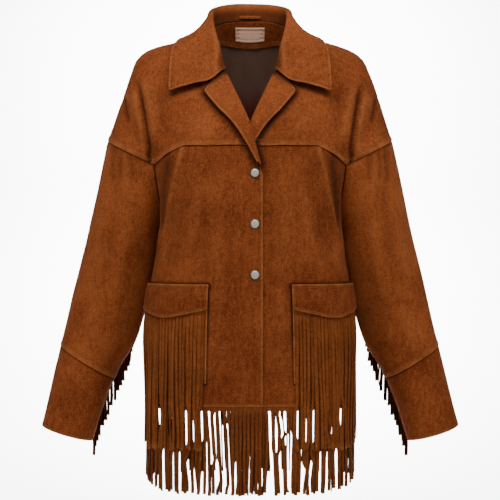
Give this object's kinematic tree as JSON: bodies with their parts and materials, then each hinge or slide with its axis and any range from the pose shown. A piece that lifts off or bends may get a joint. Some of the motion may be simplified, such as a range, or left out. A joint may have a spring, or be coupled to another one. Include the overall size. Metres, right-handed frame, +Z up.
{
  "type": "fringed suede jacket",
  "caption": "Hip-length suede jacket in its worn shape, hollow, with notched collar, dropped shoulders, long cuffs, snap front, flap pockets and fringe on hem, pockets and sleeve seams.",
  "frame": {"origin": "middle of the neck opening, level with the tops of the shoulders", "axes": "+Z up, -Y towards the front, +X towards the wearer's left, which is a viewer's right"},
  "size_m": [0.7536, 0.2762, 0.8758],
  "materials": {
    "suede": "napped rust-brown suede, matt",
    "satin": "dark grey-brown satin lining",
    "label": "pale pinkish beige leather patch, blank",
    "metal": "satin pewter plating"
  },
  "bodies": {
    "root": {"back": "suede", "back_lining": "satin", "back_yoke": "suede", "collar": "suede", "cuff_left": "suede", "cuff_right": "suede", "flap_left": "suede", "flap_right": "suede", "front_left": "suede", "front_right": "suede", "front_yoke_left": "suede", "front_yoke_right": "suede", "hanger_loop": "suede", "hem_fringe_back": "suede", "hem_fringe_left": "suede", "hem_fringe_right": "suede", "lapel_left": "suede", "lapel_right": "suede", "neck_facing": "suede", "neck_label": "label", "pocket_fringe_left": "suede", "pocket_fringe_right": "suede", "pocket_left": "suede", "pocket_right": "suede", "sleeve_fringe_left": "suede", "sleeve_fringe_right": "suede", "sleeve_left": "suede", "sleeve_right": "suede", "snap_1": "metal", "snap_2": "metal", "snap_3": "metal"}
  },
  "joints": []
}
